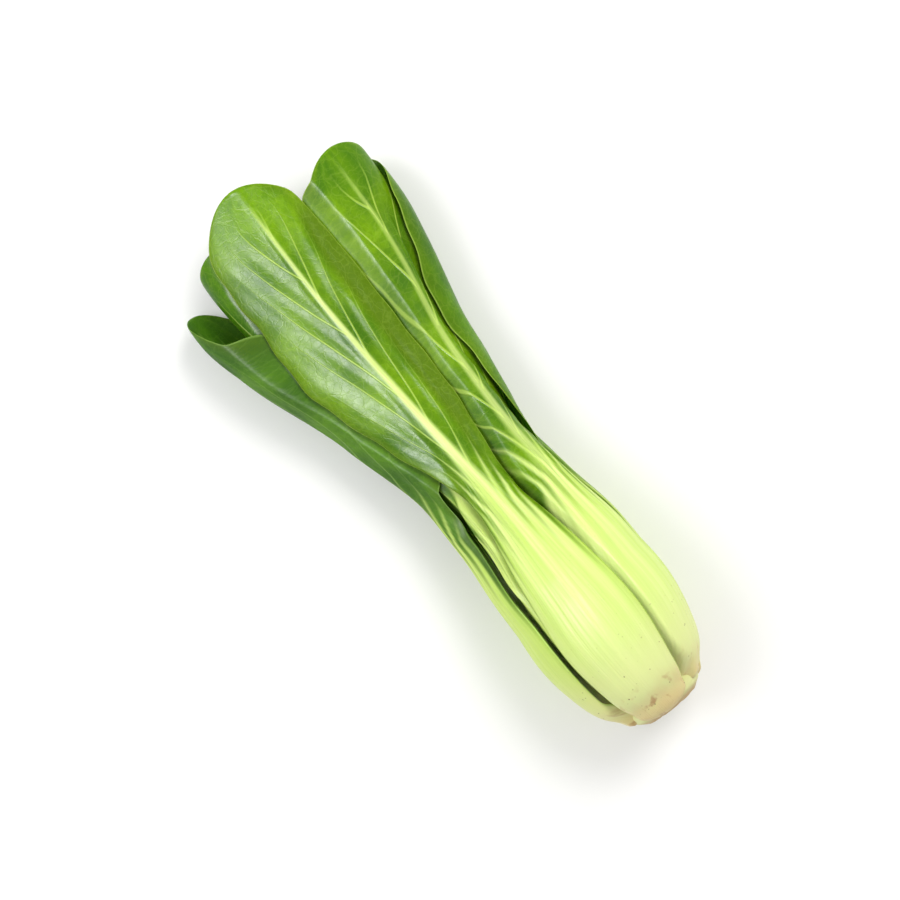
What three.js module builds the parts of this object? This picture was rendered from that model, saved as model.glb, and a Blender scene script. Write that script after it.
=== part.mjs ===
// One head of green-stalked bok choy, as picked, lying on its side. Millimetres, +Z up.
// It runs along +X from its cut crown to its leaf tips, and rests on the plane z = 0.
// The leaves grow round the crown in a spiral, in three rings. Each leaf has two bodies: a fleshy
// stalk that runs on as the midrib, and a thin blade that lies against the inner face of that rib.
import * as THREE from "three";

const { clamp, degToRad, lerp, smoothstep } = THREE.MathUtils;

// Driving sizes
const headLength = 225; // from the cut face to the longest leaf tip
const bulbWidth = 55; // across the swollen stalks
const crownWidth = 18; // across the cut stem inside the leaf feet
const crownHeight = 21;
const bladeThickness = 0.8;
const ribDepth = 1; // of a midrib near its end
const ribGap = 0.4; // between a blade and the rib that it lies on
const leafGap = 0.8; // between one leaf and the next
const fillMargin = 2; // how far past a leaf's edge a younger leaf starts to dip under it

// The spiral. A turn is an angle round the head, 0 at the top and positive towards -Y.
const firstAzimuth = -9; // degrees
const divergence = 137.5; // degrees from each leaf to the next younger one

// A stalk is flat outside and ribbed inside at its foot, and round outside where it is a midrib.
const stalkForm = {
  edge: 1.2, // thickness at the margins, at most
  edgeShare: 0.62, // of the thickness in the middle
  fallPower: 2.4,
  roundFrom: -30, // from the neck
  roundTo: 10,
};
const bladeRise = { share: 0.55, width: 12 }; // how a blade rises beside its rib
const waves = { height: 1.3, length: 53, shift: 2.3 }; // of a blade's margins, shift in radians

// The rings of leaves, from the outside in. Widths are half widths.
const rings = [
  {
    name: "outer",
    radiusShare: 1,
    stalk: { bulbHalf: 21.5, bulbDepth: 7.6, neckHalf: 9.5, neckDepth: 4.2 },
    bladeHalf: 24,
    tips: [1, 0.93, 0.9, 0.96, 0.92], // of the head's length
    leans: [-3, 2, -14, 6, -2], // degrees that the blade drifts round the head
    flares: [0, 4, 8, 3, 1], // how far the tip stands out from the head
    stalkShares: [0.82, 1, 0.95, 0.9, 1], // of the stalk's width at the bulb
    bladeShares: [0.9, 1, 1, 0.95, 1], // of the blade's width
    columns: { stalk: 8, side: 5 },
    rows: { foot: 10, rib: 11, tip: 4 },
  },
  {
    name: "inner",
    radiusShare: 0.86,
    stalk: { bulbHalf: 12.5, bulbDepth: 4.8, neckHalf: 6.5, neckDepth: 2.6 },
    bladeHalf: 21,
    tips: [0.95, 0.91, 0.87, 0.84],
    leans: [-6, 8, 5, -4],
    flares: [2, 3, 0, 1],
    stalkShares: [1, 1.05, 0.95, 0.9],
    bladeShares: [1, 0.95, 1, 0.9],
    columns: { stalk: 6, side: 3 },
    rows: { foot: 8, rib: 9, tip: 4 },
  },
  {
    name: "heart",
    radiusShare: 0.55,
    stalk: { bulbHalf: 5.5, bulbDepth: 2.8, neckHalf: 3.4, neckDepth: 1.7 },
    bladeHalf: 11,
    tips: [0.78, 0.69, 0.6],
    leans: [3, -4, 2],
    flares: [0, 0, 0],
    stalkShares: [1, 1, 0.9],
    bladeShares: [1, 0.95, 0.85],
    columns: { stalk: 4, side: 2 },
    rows: { foot: 6, rib: 6, tip: 4 },
  },
];

// The head's own form, in places along its length
const bulbPlace = 0.16; // share of the length where the stalks are widest
const neckPlace = 0.4; // where the outer leaves turn from stalk to blade
const flatSpot = 1.5; // how far the bulb is pressed flat on the surface that it lies on

/** A smooth curve through a few points (x, y), which stays level past the first and the last. */
function through(points) {
  const last = points.length - 1;
  const slopes = points.map((_, i) => {
    const [before, after] = [points[Math.max(i - 1, 0)], points[Math.min(i + 1, last)]];
    return (after[1] - before[1]) / (after[0] - before[0]);
  });
  return (x) => {
    if (x <= points[0][0]) return points[0][1];
    if (x >= points[last][0]) return points[last][1];
    const i = points.findIndex((p) => p[0] > x) - 1;
    const span = points[i + 1][0] - points[i][0];
    const t = (x - points[i][0]) / span;
    const ease = t * t * (3 - 2 * t);
    return (
      lerp(points[i][1], points[i + 1][1], ease) +
      span * t * (1 - t) * (slopes[i] * (1 - t) - slopes[i + 1] * t)
    );
  };
}

/** The same, with x as shares of the head's length. */
const alongHead = (points) => through(points.map(([share, y]) => [share * headLength, y]));

// The head's section is a circle at the bulb, and an oval where the blades lie on each other.
const bulbRadius = bulbWidth / 2;
const envelope = alongHead([
  [0, 0.44 * bulbRadius],
  [0.03, 0.68 * bulbRadius],
  [0.075, 0.87 * bulbRadius],
  [bulbPlace, bulbRadius],
  [0.26, 0.93 * bulbRadius],
  [0.37, 0.77 * bulbRadius],
  [0.47, 0.71 * bulbRadius],
  [0.6, 0.83 * bulbRadius],
  [0.76, bulbRadius],
  [1, 0.96 * bulbRadius],
]);
const spread = alongHead([[0.22, 1], [0.45, 1.22], [0.75, 1.3], [1, 1.3]]);
const squash = alongHead([[0.22, 1], [0.45, 0.82], [0.7, 0.6], [1, 0.52]]);
const axisHeight = alongHead([
  [0.26, bulbRadius - flatSpot],
  [0.47, 0.73 * bulbRadius],
  [0.62, 0.6 * bulbRadius],
  [0.76, 0.585 * bulbRadius],
  [1, 0.55 * bulbRadius],
]);
const sway = alongHead([[0, 0], [0.35, -1.5], [0.7, 2], [1, 0]]);

/** The point at a place along the head, a turn round it and a radius before it is pressed oval. */
function headPoint(x, turn, radius) {
  const y = sway(x) - radius * spread(x) * Math.sin(turn);
  const z = axisHeight(x) + radius * squash(x) * Math.cos(turn);
  return new THREE.Vector3(x, y, x < neckPlace * headLength ? Math.max(z, 0) : z);
}

/** How many real millimetres one millimetre of radius gives, square to the head's surface. */
function depthScale(x, turn) {
  const [wide, high] = [spread(x), squash(x)];
  return (wide * high) / Math.hypot(wide * Math.cos(turn), high * Math.sin(turn));
}

/** The way round the oval section to a turn, for a radius of 1. */
function arcTo(x, turn) {
  const [wide, high] = [spread(x), squash(x)];
  return ((wide + high) / 2) * turn + ((wide - high) / 4) * Math.sin(2 * turn);
}

/** The turn that lies a distance round the section from another turn. */
function turnAt(x, from, distance, radius) {
  const wanted = arcTo(x, from) + distance / radius;
  const [wide, high] = [spread(x), squash(x)];
  let turn = from + distance / radius / ((wide + high) / 2);
  for (let step = 0; step < 6; step++) {
    const slope = (wide + high) / 2 + ((wide - high) / 2) * Math.cos(2 * turn);
    turn -= (arcTo(x, turn) - wanted) / slope;
  }
  return turn;
}

// The crown is the cut stem that all the leaves grow from: a short cone inside the bulb.
const crownProfile = [
  [0, 1],
  [0.08, 0.95],
  [0.24, 0.72],
  [0.46, 0.46],
  [0.7, 0.25],
  [0.88, 0.12],
].map(([up, across]) => [up * crownHeight, (across * crownWidth) / 2]);
const crownRadius = through([...crownProfile, [crownHeight, 0]]);

// The room left inside the leaves that are already placed, as a radius for each place and turn.
const room = {
  columns: 180,
  rows: 117,
  stepX: 2,
  turnStep: (2 * Math.PI) / 180,
  ease: 4, // columns over which a younger leaf's edge dips under an older one
  easeX: 2,
};
const wholeRoom = () =>
  Array.from({ length: room.rows }, (_, row) =>
    new Float64Array(room.columns).fill(1.3 * envelope(row * room.stepX)),
  );

/** A value of the room at any place and turn. */
function sample(field, x, turn) {
  const row = clamp(x / room.stepX, 0, room.rows - 1.001);
  const wrapped = turn / room.turnStep;
  const column = wrapped - Math.floor(wrapped / room.columns) * room.columns;
  const [i, j] = [Math.floor(row), Math.floor(column) % room.columns];
  const next = (j + 1) % room.columns;
  const at = (r) => lerp(field[r][j], field[r][next], column - Math.floor(column));
  return lerp(at(i), at(i + 1), row - i);
}

/** The room with its steps eased, never larger than it was. */
function eased(field) {
  const around = (values, j, reach, length, wraps) =>
    Array.from({ length: 2 * reach + 1 }, (_, k) => {
      const index = j + k - reach;
      return values(wraps ? (index + length) % length : clamp(index, 0, length - 1));
    });
  const least = (list) => Math.min(...list);
  const mean = (list) => list.reduce((sum, v) => sum + v, 0) / list.length;
  const alongTurns = (rows, take) =>
    rows.map((row) => row.map((_, j) => take(around((k) => row[k], j, room.ease, room.columns, true))));
  const alongPlaces = (rows, take) =>
    rows.map((row, i) =>
      row.map((_, j) => take(around((k) => rows[k][j], i, room.easeX, room.rows, false))),
    );
  const shrunk = alongPlaces(alongTurns(field, least), least);
  return alongPlaces(alongTurns(shrunk, mean), mean);
}

/** The lesser of two values, with the crease between them rounded off. */
const softMin = (a, b) => (a + b - Math.hypot(a - b, 1)) / 2;

const leafOrder = rings.flatMap((ring) => ring.tips.map((_, rank) => ({ ring, rank })));

/** Everything that is particular to one leaf, with its profiles as functions of the place x. */
function planLeaf({ ring, rank }, index) {
  const youth = index / (leafOrder.length - 1);
  const foot = 0.6 + 16 * youth ** 1.3;
  const neck = headLength * (neckPlace - 0.13 * youth ** 1.5);
  const tip = headLength * ring.tips[rank];
  const bulb = bulbPlace * headLength + 0.3 * foot;
  const { bulbDepth, neckHalf, neckDepth } = ring.stalk;
  const bulbHalf = ring.stalk.bulbHalf * ring.stalkShares[rank];
  const widestHalf = ring.bladeHalf * ring.bladeShares[rank];
  const footHalf = 0.85 * Math.min(envelope(foot), bulbHalf);
  const ribEnd = lerp(neck, tip, 0.93);
  const bladeLength = tip - neck;
  return {
    ring,
    foot,
    neck,
    tip,
    ribEnd,
    name: (body) => `${ring.name}_${body}_${rank + 1}`,
    midTurn: (x) =>
      degToRad(firstAzimuth + index * divergence + ring.leans[rank] * smoothstep(x, neck, tip)),
    // Radius that the leaf's outer face would take if no older leaf were in the way
    baseRadius: (x) =>
      envelope(x) * lerp(1, ring.radiusShare, smoothstep(x, 0.2 * headLength, neck)) +
      ring.flares[rank] * smoothstep(x, lerp(neck, tip, 0.4), tip),
    stalkHalf: through([
      [foot, footHalf],
      [lerp(foot, bulb, 0.35), 0.8 * bulbHalf],
      [bulb, bulbHalf],
      [lerp(bulb, neck, 0.5), lerp(bulbHalf, neckHalf, 0.42)],
      [neck, neckHalf],
      [neck + 0.12 * bladeLength, 0.6 * neckHalf],
      [neck + 0.35 * bladeLength, 0.3 * neckHalf],
      [ribEnd, 0.12 * neckHalf + 0.2],
    ]),
    stalkDepth: through([
      [foot, 1.8],
      [lerp(foot, bulb, 0.4), 0.7 * bulbDepth],
      [bulb, bulbDepth],
      [lerp(bulb, neck, 0.5), 0.5 * (bulbDepth + neckDepth)],
      [neck, neckDepth],
      [neck + 0.12 * bladeLength, 0.6 * neckDepth],
      [neck + 0.35 * bladeLength, Math.max(0.32 * neckDepth, ribDepth)],
      [ribEnd, ribDepth],
    ]),
    bladeHalf: through(
      [
        [0, (neckHalf + 0.6) / widestHalf],
        [0.1, 0.52],
        [0.25, 0.76],
        [0.45, 0.95],
        [0.62, 1],
        [0.8, 0.92],
        [0.9, 0.75],
        [0.96, 0.53],
        [0.99, 0.28],
        [1, 0.1],
      ].map(([share, half]) => [neck + share * bladeLength, half * widestHalf]),
    ),
    // Waves of the blade, strongest at its margins, which dip below the leaf's own radius
    ripple: (x, across) => {
      const phase = (2 * Math.PI * x) / waves.length + waves.shift * index + Math.sign(across);
      const share = across ** 2 * smoothstep(x, neck, neck + 0.3 * bladeLength);
      return waves.height * share * (1 + Math.sin(phase));
    },
  };
}

/** The outer face of a leaf as a radius, kept inside the room that older leaves left. */
function outerRadius(leaf, ceiling, x, turn, across) {
  const wanted = leaf.baseRadius(x) - leaf.ripple(x, across);
  return softMin(wanted, sample(ceiling, x, turn));
}

/** How far a stalk's outer and inner faces lie below the leaf's outer radius, in millimetres. */
function stalkFaces(leaf, x, across) {
  const depth = leaf.stalkDepth(x);
  const edge = Math.min(stalkForm.edge, stalkForm.edgeShare * depth);
  const fall = (depth - edge) * Math.abs(across) ** stalkForm.fallPower;
  const [from, to] = [leaf.neck + stalkForm.roundFrom, leaf.neck + stalkForm.roundTo];
  const rounded = lerp(0.2, 1, smoothstep(x, from, to));
  return { outer: rounded * fall, inner: depth - (1 - rounded) * fall };
}

/** The same for its blade, which is deepest under the rib and rises to each side of it. */
function bladeFaces(leaf, x, distance) {
  const rib = leaf.stalkDepth(x) + ribGap;
  const half = leaf.stalkHalf(x);
  const rise = smoothstep(Math.abs(distance), half, half + bladeRise.width);
  const outer = rib * (1 - bladeRise.share * rise);
  return { outer, inner: outer + bladeThickness };
}

/** A point on a leaf, at a distance round the head from its midrib and a depth below its face. */
function leafPoint(leaf, ceiling, x, distance, depth) {
  const turn = turnAt(x, leaf.midTurn(x), distance, leaf.baseRadius(x));
  const across = clamp(distance / leaf.bladeHalf(x), -1, 1);
  const outer = outerRadius(leaf, ceiling, x, turn, x > leaf.neck ? across : 0);
  const least = crownRadius(x) + leafGap;
  return headPoint(x, turn, Math.max(outer - depth / depthScale(x, turn), least));
}

/** Takes the space that a leaf fills, and the gap inside it, out of the room. */
function fill(field, leaf, ceiling) {
  field.forEach((row, i) => {
    const x = i * room.stepX;
    if (x < leaf.foot - room.stepX || x > leaf.tip + room.stepX) return;
    const middle = leaf.midTurn(x);
    row.forEach((free, j) => {
      const nearest = Math.round((middle - j * room.turnStep) / (2 * Math.PI));
      const turn = j * room.turnStep + nearest * 2 * Math.PI;
      const distance = (arcTo(x, turn) - arcTo(x, middle)) * leaf.baseRadius(x);
      const depths = [];
      if (x < leaf.ribEnd && Math.abs(distance) < leaf.stalkHalf(x) + fillMargin) {
        const across = clamp(distance / leaf.stalkHalf(x), -1, 1);
        depths.push(stalkFaces(leaf, x, across).inner);
      }
      const bladeHalf = leaf.bladeHalf(x);
      if (x > leaf.neck - room.stepX && Math.abs(distance) < bladeHalf + fillMargin)
        depths.push(bladeFaces(leaf, x, distance).inner);
      if (!depths.length) return;
      const across = x > leaf.neck ? clamp(distance / bladeHalf, -1, 1) : 0;
      const outer = outerRadius(leaf, ceiling, x, turn, across);
      row[j] = Math.min(free, outer - (Math.max(...depths) + leafGap) / depthScale(x, turn));
    });
  });
}

/** A closed slab between an outer and an inner grid of points, with the same triangles on both. */
function slab(rows, columns, pointOn) {
  const positions = [];
  const faces = [];
  for (const side of ["outer", "inner"])
    for (let i = 0; i <= rows; i++)
      for (let j = 0; j <= columns; j++) positions.push(...pointOn(side, i, j));
  const below = (rows + 1) * (columns + 1);
  const at = (i, j) => i * (columns + 1) + j;
  const quad = (a, b, c, d) => faces.push(a, b, c, a, c, d);
  for (let i = 0; i < rows; i++)
    for (let j = 0; j < columns; j++) {
      const [a, b, c, d] = [at(i, j), at(i, j + 1), at(i + 1, j + 1), at(i + 1, j)];
      faces.push(a, b, d, d, b, c);
      faces.push(a + below, d + below, b + below, d + below, c + below, b + below);
    }
  for (let j = 0; j < columns; j++) {
    quad(at(0, j + 1), at(0, j), at(0, j) + below, at(0, j + 1) + below);
    quad(at(rows, j), at(rows, j + 1), at(rows, j + 1) + below, at(rows, j) + below);
  }
  for (let i = 0; i < rows; i++) {
    quad(at(i, 0), at(i + 1, 0), at(i + 1, 0) + below, at(i, 0) + below);
    quad(at(i + 1, columns), at(i, columns), at(i, columns) + below, at(i + 1, columns) + below);
  }
  const geometry = new THREE.BufferGeometry();
  geometry.setAttribute("position", new THREE.Float32BufferAttribute(positions, 3));
  geometry.setIndex(faces);
  geometry.computeVertexNormals();
  return geometry;
}

/** The places of a leaf's rows: up the stalk, along the rib, and on to the round tip. */
function rowPlaces(leaf) {
  const { foot, rib, tip } = leaf.ring.rows;
  const between = (from, to, count, bend) =>
    Array.from({ length: count }, (_, i) => lerp(from, to, bend((i + 1) / count)));
  const ribPlaces = [leaf.neck, ...between(leaf.neck, leaf.ribEnd, rib, (u) => u)];
  return {
    stalk: [leaf.foot, ...between(leaf.foot, leaf.neck, foot, (u) => u ** 1.15), ...ribPlaces.slice(1)],
    blade: [...ribPlaces, ...between(leaf.ribEnd, leaf.tip, tip, (u) => 1 - (1 - u) ** 1.6)],
  };
}

/** The stalk and the midrib that it runs on as. */
function stalkGeometry(leaf, ceiling) {
  const places = rowPlaces(leaf).stalk;
  const columns = leaf.ring.columns.stalk;
  return slab(places.length - 1, columns, (side, i, j) => {
    const x = places[i];
    const across = (2 * j) / columns - 1;
    return leafPoint(leaf, ceiling, x, across * leaf.stalkHalf(x), stalkFaces(leaf, x, across)[side]);
  });
}

/** The thin green blade. Under the rib it has the rib's own rows and columns, to lie close to it. */
function bladeGeometry(leaf, ceiling) {
  const places = rowPlaces(leaf).blade;
  const { stalk, side: margin } = leaf.ring.columns;
  const columns = stalk + 2 * margin;
  return slab(places.length - 1, columns, (side, i, j) => {
    const x = places[i];
    const [rib, edge] = [leaf.stalkHalf(x), leaf.bladeHalf(x)];
    let distance = (2 * (j - margin) / stalk - 1) * rib;
    if (j < margin) distance = -lerp(edge, rib, j / margin);
    if (j > margin + stalk) distance = lerp(rib, edge, (j - margin - stalk) / margin);
    return leafPoint(leaf, ceiling, x, distance, bladeFaces(leaf, x, distance)[side]);
  });
}

function crownGeometry() {
  const outline = [[0, 0], ...crownProfile, [crownHeight, 0]];
  const profile = outline.map(([up, across]) => new THREE.Vector2(across, up));
  const geometry = new THREE.LatheGeometry(profile, 20);
  return geometry.rotateZ(-Math.PI / 2).translate(0, sway(0), axisHeight(0));
}

// Colours, from the pale foot of the stalks to the green of the blades
const fresh = (color, roughness) =>
  new THREE.MeshStandardMaterial({ color, roughness, metalness: 0 });
const crownMaterial = fresh(0xe9dfb4, 0.75);
const stalkMaterials = {
  outer: fresh(0xc6dc7a, 0.38),
  inner: fresh(0xcfe08a, 0.38),
  heart: fresh(0xdde9a0, 0.4),
};
const bladeMaterials = {
  outer: fresh(0x5c9a22, 0.42),
  inner: fresh(0x3f8030, 0.45),
  heart: fresh(0x8fc03c, 0.45),
};

const head = new THREE.Group();

function addPiece(name, geometry, material) {
  const piece = new THREE.Mesh(geometry, material);
  piece.name = name;
  head.add(piece);
}

addPiece("crown", crownGeometry(), crownMaterial);
const free = wholeRoom();
leafOrder.map(planLeaf).forEach((leaf) => {
  const ceiling = eased(free);
  const { name } = leaf.ring;
  addPiece(leaf.name("stalk"), stalkGeometry(leaf, ceiling), stalkMaterials[name]);
  addPiece(leaf.name("blade"), bladeGeometry(leaf, ceiling), bladeMaterials[name]);
  fill(free, leaf, ceiling);
});

// The origin is under the middle of the head, on the surface that it lies on.
const box = new THREE.Box3().setFromObject(head);
const middle = box.getCenter(new THREE.Vector3());
head.position.set(-middle.x, -middle.y, -box.min.z);

export default head;
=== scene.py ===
"""Dresses one head of green-stalked bok choy that lies on its side.

Each leaf grows here as one continuous piece, from its foot on the crown to its tip, with the form
that its stalk and its blade have in the frame. Lengths are in millimetres until a mesh is placed.
"""
import logging
import math
from dataclasses import dataclass
from enum import Enum
from functools import cached_property
from typing import Optional, Sequence, Union

import bmesh
import bpy
import numpy as np
from mathutils import Matrix, Vector


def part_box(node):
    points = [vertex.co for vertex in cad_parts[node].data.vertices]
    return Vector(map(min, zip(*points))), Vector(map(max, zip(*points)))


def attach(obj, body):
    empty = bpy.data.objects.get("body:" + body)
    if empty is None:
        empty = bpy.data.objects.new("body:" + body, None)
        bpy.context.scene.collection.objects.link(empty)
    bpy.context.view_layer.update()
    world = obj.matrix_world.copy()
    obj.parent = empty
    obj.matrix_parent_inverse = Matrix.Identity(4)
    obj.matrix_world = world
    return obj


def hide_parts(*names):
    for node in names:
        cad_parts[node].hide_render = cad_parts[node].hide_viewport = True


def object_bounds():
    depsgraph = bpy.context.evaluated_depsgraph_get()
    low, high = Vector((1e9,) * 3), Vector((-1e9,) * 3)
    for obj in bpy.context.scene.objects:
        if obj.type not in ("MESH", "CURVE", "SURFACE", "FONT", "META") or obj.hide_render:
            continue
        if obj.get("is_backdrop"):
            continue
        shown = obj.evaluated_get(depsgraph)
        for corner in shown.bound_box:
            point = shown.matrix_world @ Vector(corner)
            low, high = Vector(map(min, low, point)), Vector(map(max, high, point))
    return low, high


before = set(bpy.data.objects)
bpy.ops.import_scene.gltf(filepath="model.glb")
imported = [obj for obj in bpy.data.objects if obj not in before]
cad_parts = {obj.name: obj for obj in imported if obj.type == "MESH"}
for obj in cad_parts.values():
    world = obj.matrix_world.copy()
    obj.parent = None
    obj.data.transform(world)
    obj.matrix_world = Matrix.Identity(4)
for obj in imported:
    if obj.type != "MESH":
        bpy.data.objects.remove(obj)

log = logging.getLogger("bok_choy")

METRES = 0.001  # in a millimetre
BODY = "root"

Colour = tuple[float, float, float]
Numbers = Union[float, np.ndarray]


def between(low: Numbers, high: Numbers, share: Numbers) -> Numbers:
    """Returns the value at a share of the way from low to high."""
    return low + (high - low) * share


def smoothstep(x: Numbers, low: Numbers, high: Numbers) -> Numbers:
    """Returns a smooth rise from 0 at low to 1 at high."""
    t = np.clip((x - low) / (high - low), 0.0, 1.0)
    return t * t * (3.0 - 2.0 * t)


def soft_min(a: Numbers, b: Numbers, rounding: Numbers = 1.0) -> Numbers:
    """Returns the lesser of two values, with the crease between them rounded off."""
    return (a + b - np.hypot(a - b, rounding)) / 2.0


def soft_max(a: Numbers, b: Numbers, rounding: Numbers = 1.0) -> Numbers:
    """Returns the greater of two values, with the crease between them rounded off."""
    return (a + b + np.hypot(a - b, rounding)) / 2.0


class SmoothCurve:
    """A smooth curve through a few points, level past the first and the last."""

    def __init__(self, points: Sequence[tuple[float, float]]) -> None:
        """Keeps the points and works out the slope at each.

        Args:
            points: pairs of a place and the value there, in order.
        """
        self.places, self.values = np.array(points, float).T
        before = np.maximum(np.arange(len(points)) - 1, 0)
        after = np.minimum(np.arange(len(points)) + 1, len(points) - 1)
        run = self.places[after] - self.places[before]
        self.slopes = (self.values[after] - self.values[before]) / run

    def __call__(self, x: Numbers) -> Numbers:
        """Reads the curve.

        Args:
            x: the places.

        Returns:
            The value at each place.
        """
        last = len(self.places) - 2
        i = np.clip(np.searchsorted(self.places, x, side="right") - 1, 0, last)
        span = self.places[i + 1] - self.places[i]
        t = np.clip((x - self.places[i]) / span, 0.0, 1.0)
        rise = between(self.values[i], self.values[i + 1], t * t * (3.0 - 2.0 * t))
        bend = self.slopes[i] * (1.0 - t) - self.slopes[i + 1] * t
        return rise + span * t * (1.0 - t) * bend


@dataclass(frozen=True)
class HeadForm:
    """The form of the whole head: a round bulb that runs on into an oval bundle of blades.

    A turn is an angle round the head, 0 at the top and positive towards -Y.
    """

    length: float = 225.0
    bulb_width: float = 55.0
    flat_spot: float = 1.5
    bulb_place: float = 0.16
    neck_place: float = 0.4
    first_azimuth: float = -9.0
    divergence: float = 137.5
    turn_rounds: int = 6

    def curve(self, *points: tuple[float, float]) -> SmoothCurve:
        """Returns a curve through points given as shares of the head's length."""
        return SmoothCurve([(share * self.length, value) for share, value in points])

    @cached_property
    def bulb_radius(self) -> float:
        """Returns half of the bulb's width."""
        return self.bulb_width / 2.0

    @cached_property
    def envelope(self) -> SmoothCurve:
        """Draws the head's outline along its length, before it is pressed oval.

        Returns:
            The radius at each place.
        """
        shape = (
            (0.0, 0.44),
            (0.03, 0.68),
            (0.075, 0.87),
            (self.bulb_place, 1.0),
            (0.26, 0.93),
            (0.37, 0.77),
            (0.47, 0.71),
            (0.6, 0.83),
            (0.76, 1.0),
            (1.0, 0.96),
        )
        return self.curve(*((place, share * self.bulb_radius) for place, share in shape))

    @cached_property
    def spread(self) -> SmoothCurve:
        """Returns how far the section is widened."""
        return self.curve((0.22, 1.0), (0.45, 1.22), (0.75, 1.3), (1.0, 1.3))

    @cached_property
    def squash(self) -> SmoothCurve:
        """Returns how far the section is lowered."""
        return self.curve((0.22, 1.0), (0.45, 0.82), (0.7, 0.6), (1.0, 0.52))

    @cached_property
    def axis_height(self) -> SmoothCurve:
        """Lays the head on its bulb and on its lower blades.

        Returns:
            The height of the section's middle at each place.
        """
        radius = self.bulb_radius
        return self.curve(
            (0.26, radius - self.flat_spot),
            (0.47, 0.73 * radius),
            (0.62, 0.6 * radius),
            (0.76, 0.585 * radius),
            (1.0, 0.55 * radius),
        )

    @cached_property
    def sway(self) -> SmoothCurve:
        """Returns how far the head bends sideways."""
        return self.curve((0.0, 0.0), (0.35, -1.5), (0.7, 2.0), (1.0, 0.0))

    def point(self, x: np.ndarray, turn: np.ndarray, radius: np.ndarray) -> np.ndarray:
        """Places points of the head.

        Args:
            x: places along the head.
            turn: turns round it.
            radius: radii before the section is pressed oval.

        Returns:
            One row of x, y and z for each point.
        """
        y = self.sway(x) - radius * self.spread(x) * np.sin(turn)
        z = self.axis_height(x) + radius * self.squash(x) * np.cos(turn)
        return np.column_stack([x, y, np.maximum(z, 0.0)])

    def depth_scale(self, x: Numbers, turn: Numbers) -> Numbers:
        """Returns the real depth, square to the surface, of one millimetre of radius."""
        wide, high = self.spread(x), self.squash(x)
        return wide * high / np.hypot(wide * np.cos(turn), high * np.sin(turn))

    def arc_to(self, x: Numbers, turn: Numbers) -> Numbers:
        """Returns the way round the oval section to a turn, for a radius of 1."""
        wide, high = self.spread(x), self.squash(x)
        return (wide + high) / 2.0 * turn + (wide - high) / 4.0 * np.sin(2.0 * turn)

    def turn_at(
        self, x: np.ndarray, start: np.ndarray, distance: np.ndarray, radius: np.ndarray
    ) -> np.ndarray:
        """Finds the turn that lies a distance round the section from another turn.

        Args:
            x: places along the head.
            start: the turns to start from.
            distance: signed ways round the section, in millimetres.
            radius: the radii at which the ways are measured.

        Returns:
            The turns.
        """
        wide, high = self.spread(x), self.squash(x)
        wanted = self.arc_to(x, start) + distance / radius
        turn = start + distance / radius / ((wide + high) / 2.0)
        for _ in range(self.turn_rounds):
            slope = (wide + high) / 2.0 + (wide - high) / 2.0 * np.cos(2.0 * turn)
            turn = turn - (self.arc_to(x, turn) - wanted) / slope
        return turn


class LeafTone(Enum):
    """The colour families that a leaf can have."""

    BRIGHT = "bright_leaf"
    FRESH = "fresh_leaf"
    DEEP = "deep_leaf"
    YOUNG = "young_leaf"


@dataclass(frozen=True)
class StalkSizes:
    """Half widths and thicknesses of a stalk at the bulb and at the neck."""

    bulb_half: float
    bulb_depth: float
    neck_half: float
    neck_depth: float


@dataclass(frozen=True)
class Ring:
    """One ring of leaves, with what its leaves share and what each has of its own.

    A bend moves the midrib sideways towards the tip. A fold turns a margin in: the right one
    where it is positive and the left one where it is negative. Both are in millimetres. A rib's
    clarity runs from 0, as green as the blade, to 1, as pale as the stalk. A tip's roundness is
    its radius as a share of the one that the habit gives.
    """

    name: str
    radius_share: float
    stalk: StalkSizes
    blade_half: float
    tips: tuple[float, ...]
    leans: tuple[float, ...]
    flares: tuple[float, ...]
    stalk_shares: tuple[float, ...]
    blade_shares: tuple[float, ...]
    bends: tuple[float, ...]
    folds: tuple[float, ...]
    rib_clarity: tuple[float, ...]
    roundness: tuple[float, ...]
    tones: tuple[LeafTone, ...]
    rows: int
    columns: int


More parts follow.
